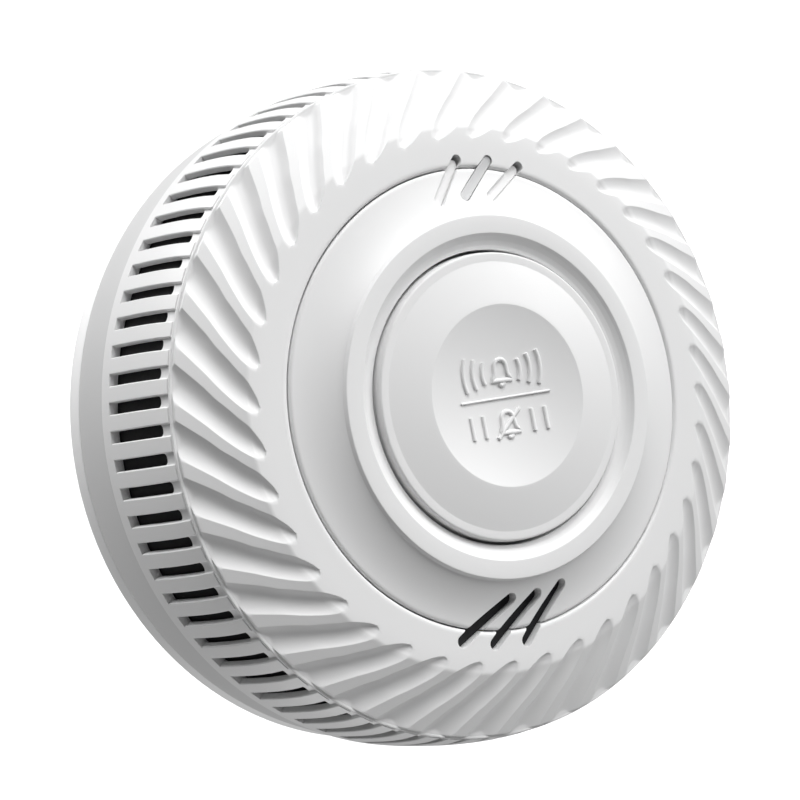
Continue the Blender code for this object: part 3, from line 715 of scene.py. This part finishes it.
def make_housing():
    """Rear band and floor, with the slots that the plate's hooks turn in."""
    prof = [(57.4, 17.2), (58.1, 17.2), (58.1, 15.85), (59.95, 15.85)]
    prof += [(59.15, 4.0), (58.9, 3.75), (57.9, 3.75), (57.9, 2.7), (8.0, 2.7), (8.0, 4.7), (55.0, 4.7),
             (55.0, 15.6), (57.4, 15.6)]
    outer = rounded(prof, [0, 0, 0, 0.14, 0.15, 0.1] + [0] * 7, 4)
    loop = resample(outer + outer[:1], 6.0)[:-1]
    house = link("housing_shell", grid_mesh("housing_shell", ring_points(loop, 200)))
    bm = bmesh.new()
    for turn in (0.0, 120.0, 240.0):
        arc_prism(45.0, 1.5, turn - 24.0, turn + 7.5, 1.0, 6.0, bm)
    narrow = link("hook_slots", to_mesh("hook_slots", bm))
    bm = bmesh.new()
    for turn in (0.0, 120.0, 240.0):
        arc_prism(46.4, 3.1, turn - 24.2, turn - 8.0, 1.0, 6.0, bm)
    wide = link("hook_entries", to_mesh("hook_entries", bm))
    for cutter in (narrow, wide):
        carve(house, cutter)
        drop(cutter)
    return refinish(house, 30.0, HOUSING_PAINTED_SHADE)


def make_plate_rim():
    """Ring over the mounting plate's edge, a little larger than it, which shows behind the housing."""
    corners = [(54.0, 2.38), (58.15, 2.38), (58.15, 3.6), (59.0, 3.6), (59.6, 1.2), (59.2, 0.0), (54.0, 0.0)]
    prof = rounded(corners, [0, 0, 0.1, 0.35, 0.6, 0.4, 0], 5)
    return link("plate_rim", smooth(grid_mesh("plate_rim", ring_points(prof, 240)), 40.0), PLATE)


slots = slot_cutters()
cover = make_cover(slots)
insert = make_insert(slots)
drop(slots)
fingers = make_fingers()
slot_shade = make_slot_shade()
button = make_button()
marks = make_marks()
vent = make_vent_wall()
sleeve = make_shade_sleeve()
housing = make_housing()
plate_rim = make_plate_rim()
shells = ((cover, "front_cover"), (insert, "centre_insert"), (vent, "vent_wall"), (housing, "rear_housing"))
for piece, node in shells:
    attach(piece, "head")
    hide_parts(node)
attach(sleeve, "head")
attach(plate_rim, "plate")
for piece in slot_shade:
    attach(piece, "head")
for piece in fingers:
    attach(piece, "head")
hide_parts("light_pipe")
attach(button, "button")
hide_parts("test_button")
for mark in marks:
    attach(mark, "button")

nodes = frame["nodes"]


def paint(names, mat):
    """Give some of the frame's own nodes a better material."""
    for name in names:
        obj = nodes[name]
        if not obj.material_slots:
            obj.data.materials.append(mat)
        for s in obj.material_slots:
            s.material = mat


paint(["mounting_plate"], PLATE)
paint(["light_pipe_holder", "sounder_cup"], INNER)
paint(["infrared_led"], GUIDE)
paint(["switch_body", "chamber_base", "chamber_labyrinth", "chamber_cap", "photodiode", "control_chip",
       "sounder_driver", "sounder_lead_b"], BLACK)
paint(["circuit_board"], BOARD)
paint(["boost_coil"], simple("ferrite", (0.06, 0.06, 0.07), 0.55))
paint(["radio_shield", "battery_tab_positive", "battery_tab_negative"]
      + ["board_screw_%d" % i for i in (1, 2, 3)] + ["cover_screw_%d" % i for i in (1, 2, 3)],
      simple("zinc_steel", (0.6, 0.6, 0.58), 0.32, 1.0))
paint(["insect_screen"], simple("screen_steel", (0.22, 0.22, 0.23), 0.45, 0.8))
paint(["piezo_disc"], simple("brass", (0.75, 0.58, 0.28), 0.3, 1.0))
paint(["reservoir_capacitor"], simple("capacitor_sleeve", (0.03, 0.06, 0.2), 0.4))
paint(["battery"], simple("battery_sleeve", (0.08, 0.24, 0.21), 0.4))
paint(["status_led"], simple("led_lens", (0.5, 0.08, 0.06), 0.25))
paint(["switch_plunger"], simple("plunger_ivory", (0.7, 0.67, 0.58), 0.5))
paint(["sounder_lead_a"], simple("wire_red", (0.45, 0.03, 0.03), 0.45))

# ---- floor, camera, lights ---------------------------------------------------------------
floor_mesh = bpy.data.meshes.new("floor")
floor_mesh.from_pydata([(-4, -4, 0), (4, -4, 0), (4, 4, 0), (-4, 4, 0)], [], [(0, 1, 2, 3)])
floor = link("floor", floor_mesh)
floor_mat = bpy.data.materials.new("floor_white")
floor_mat.use_nodes = True
floor_shader = floor_mat.node_tree.nodes["Principled BSDF"]
floor_shader.inputs["Base Color"].default_value = (0.9, 0.9, 0.9, 1.0)
floor_shader.inputs["Roughness"].default_value = 0.9
floor_shader.inputs["Emission Color"].default_value = (1.0, 1.0, 1.0, 1.0)
floor_shader.inputs["Emission Strength"].default_value = 1.0
floor.data.materials.append(floor_mat)
floor.visible_diffuse = False
floor.visible_glossy = False
floor.visible_shadow = False
floor.location.z = -0.0004


def add_camera():
    data = bpy.data.cameras.new("camera")
    cam = bpy.data.objects.new("camera", data)
    bpy.context.scene.collection.objects.link(cam)
    forward = Vector(CAMERA_FORWARD).normalized()
    right = forward.cross(Vector(CAMERA_UP)).normalized()
    up = right.cross(forward).normalized()
    rot = Matrix((right, up, -forward)).transposed()
    cam.matrix_world = Matrix.Translation(Vector(CAMERA_AT) * MM) @ rot.to_4x4()
    data.sensor_width = SENSOR
    data.lens = LENS
    data.clip_start = 0.01
    data.clip_end = 20.0
    bpy.context.scene.camera = cam


def soft_sun(name, azimuth, elevation, strength, spread):
    """A distant soft box: parallel light with a wide disc, so its shadows have soft edges."""
    data = bpy.data.lights.new(name, "SUN")
    data.energy = strength
    data.angle = math.radians(spread)
    obj = bpy.data.objects.new(name, data)
    bpy.context.scene.collection.objects.link(obj)
    a, e = math.radians(azimuth), math.radians(elevation)
    way = Vector((math.cos(a) * math.cos(e), math.sin(a) * math.cos(e), math.sin(e)))
    obj.location = way
    obj.rotation_euler = way.to_track_quat("Z", "Y").to_euler()


add_camera()
world = bpy.data.worlds.new("studio")
bpy.context.scene.world = world
world.use_nodes = True
world.node_tree.nodes["Background"].inputs["Color"].default_value = (1.0, 1.0, 1.0, 1.0)
world.node_tree.nodes["Background"].inputs["Strength"].default_value = 0.18
soft_sun("key_top", 90.0, 31.0, 2.45, 34.0)
soft_sun("key_side", 30.0, 31.0, 1.95, 34.0)
soft_sun("rim", 120.0, -20.0, 2.4, 40.0)
soft_sun("fill_low", 262.0, -30.0, 0.75, 36.0)
soft_sun("fill_side", 272.0, 10.0, 0.45, 36.0)
bpy.context.scene.view_settings.view_transform = "Standard"
